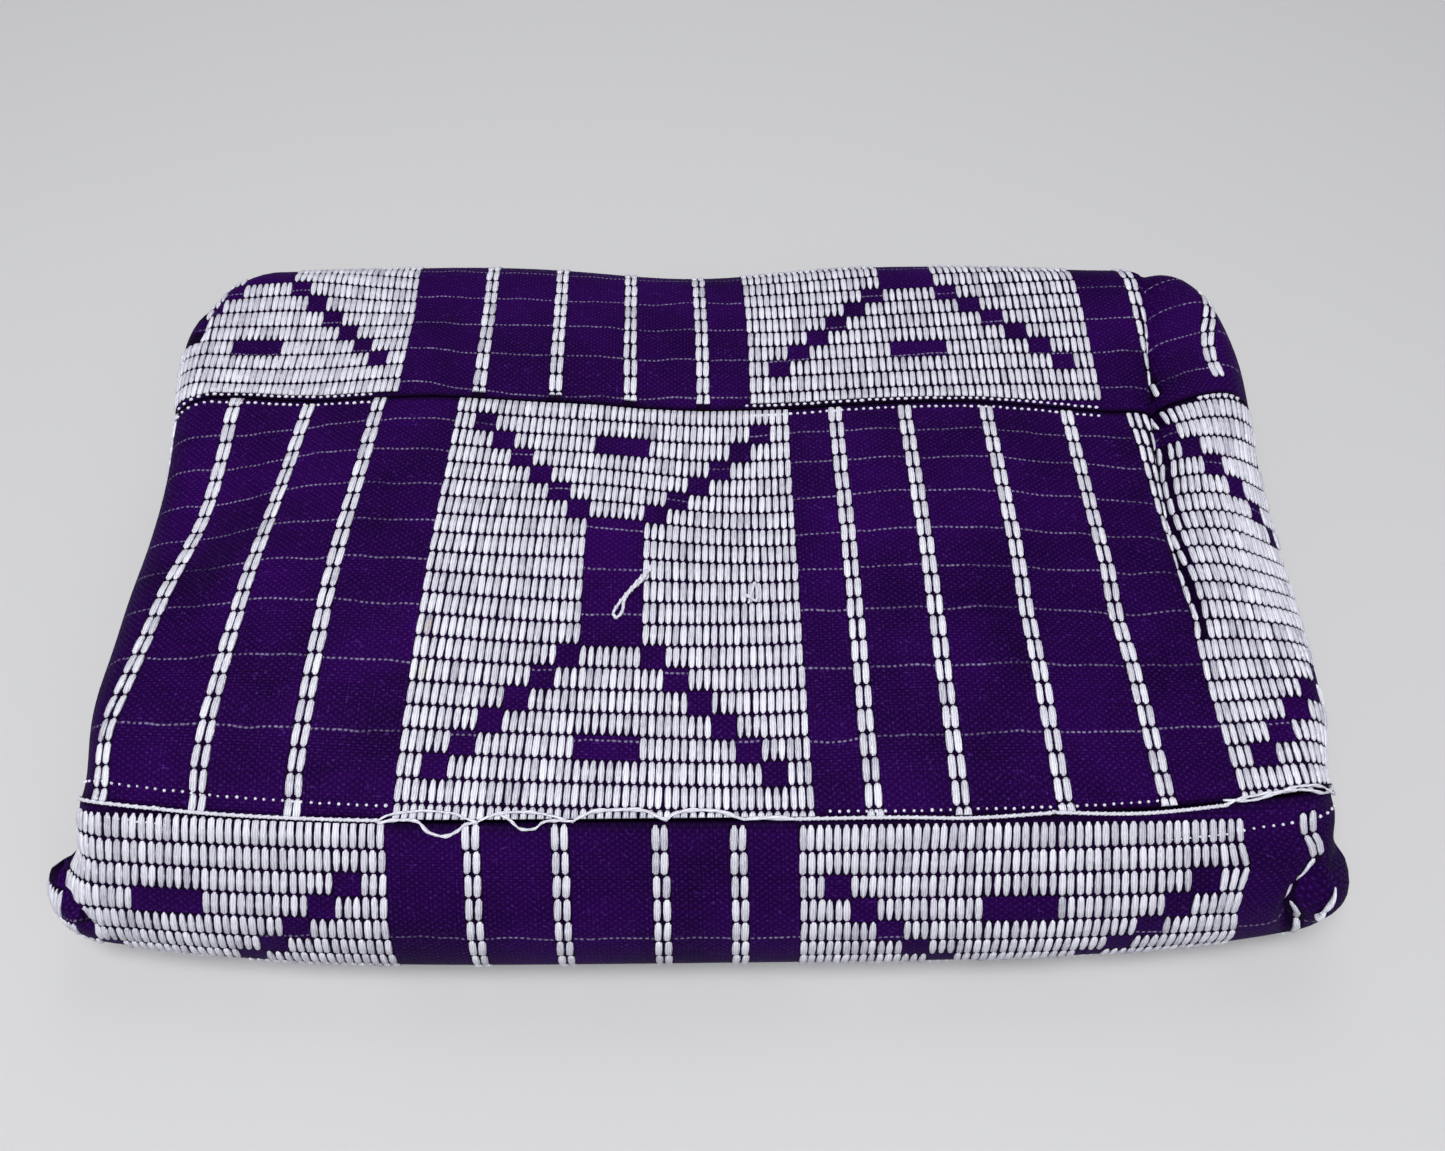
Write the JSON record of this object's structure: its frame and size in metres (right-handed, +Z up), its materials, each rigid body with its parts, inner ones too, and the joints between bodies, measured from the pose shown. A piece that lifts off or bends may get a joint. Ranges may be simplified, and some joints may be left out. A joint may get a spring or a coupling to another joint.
{
  "type": "folded kente cloth",
  "caption": "Strip-woven cloth folded into a flat rectangular bundle, with block motifs woven in pale floats on a dark ground.",
  "frame": {"origin": "centre of the bundle's box, at its underside", "axes": "+X along the woven strips, +Y from the front fold to the back fold, +Z up"},
  "size_m": [0.264, 0.1776, 0.0465],
  "materials": {
    "cloth": "woven cotton and rayon, glossy pale floats on a deep purple ground"
  },
  "bodies": {
    "root": {"back_strip": "cloth", "top_strip": "cloth", "front_strip": "cloth", "inner_strip_04": "cloth", "inner_strip_05": "cloth", "inner_strip_06": "cloth", "inner_strip_07": "cloth", "inner_strip_08": "cloth", "inner_strip_09": "cloth", "inner_strip_10": "cloth", "inner_strip_11": "cloth", "inner_strip_12": "cloth", "inner_strip_13": "cloth", "inner_strip_14": "cloth", "inner_strip_15": "cloth", "inner_strip_16": "cloth", "inner_strip_17": "cloth", "inner_strip_18": "cloth", "inner_strip_19": "cloth"}
  },
  "joints": []
}
